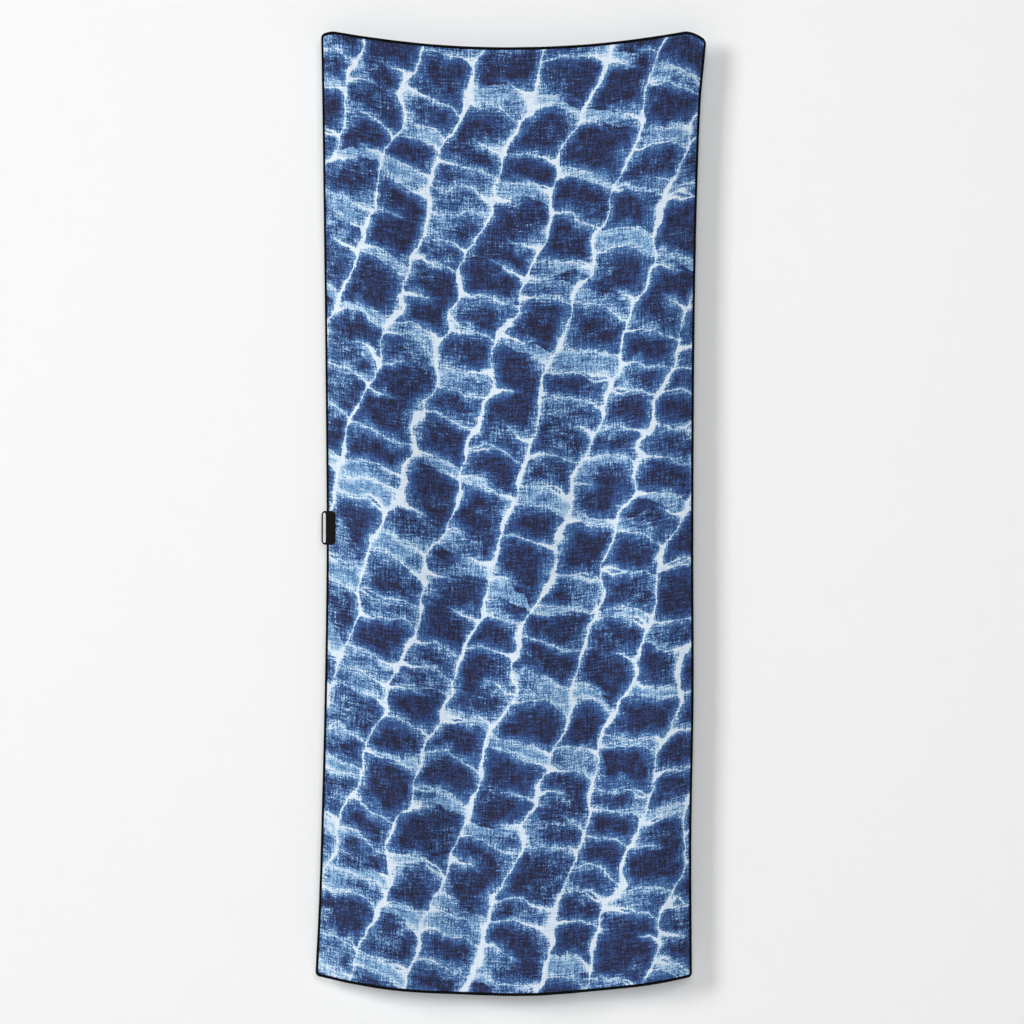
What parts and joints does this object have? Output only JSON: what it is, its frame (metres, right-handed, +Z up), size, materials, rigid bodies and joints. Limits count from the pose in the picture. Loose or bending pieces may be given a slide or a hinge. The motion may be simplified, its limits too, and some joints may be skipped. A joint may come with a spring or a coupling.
{
  "type": "travel towel with hanging tab",
  "caption": "Thin printed travel towel hung from near its top corners, with a bound edge and a slotted rubber hanging tab on one side.",
  "frame": {"origin": "middle of the cloth's top edge, where it sags lowest between the two held points", "axes": "+Z up, +X to the right as the printed front is seen, +Y to the back"},
  "size_m": [0.759, 0.0582, 1.8677],
  "materials": {
    "printed_microfibre": "matt suede-like microfibre with a blue and white resist-dye print",
    "binding_thread": "matt black overlocked thread",
    "tab_rubber": "satin black moulded rubber, left bare"
  },
  "bodies": {
    "root": {"towel_cloth": "printed_microfibre", "edge_binding": "binding_thread", "hang_tab": "tab_rubber"}
  },
  "joints": []
}
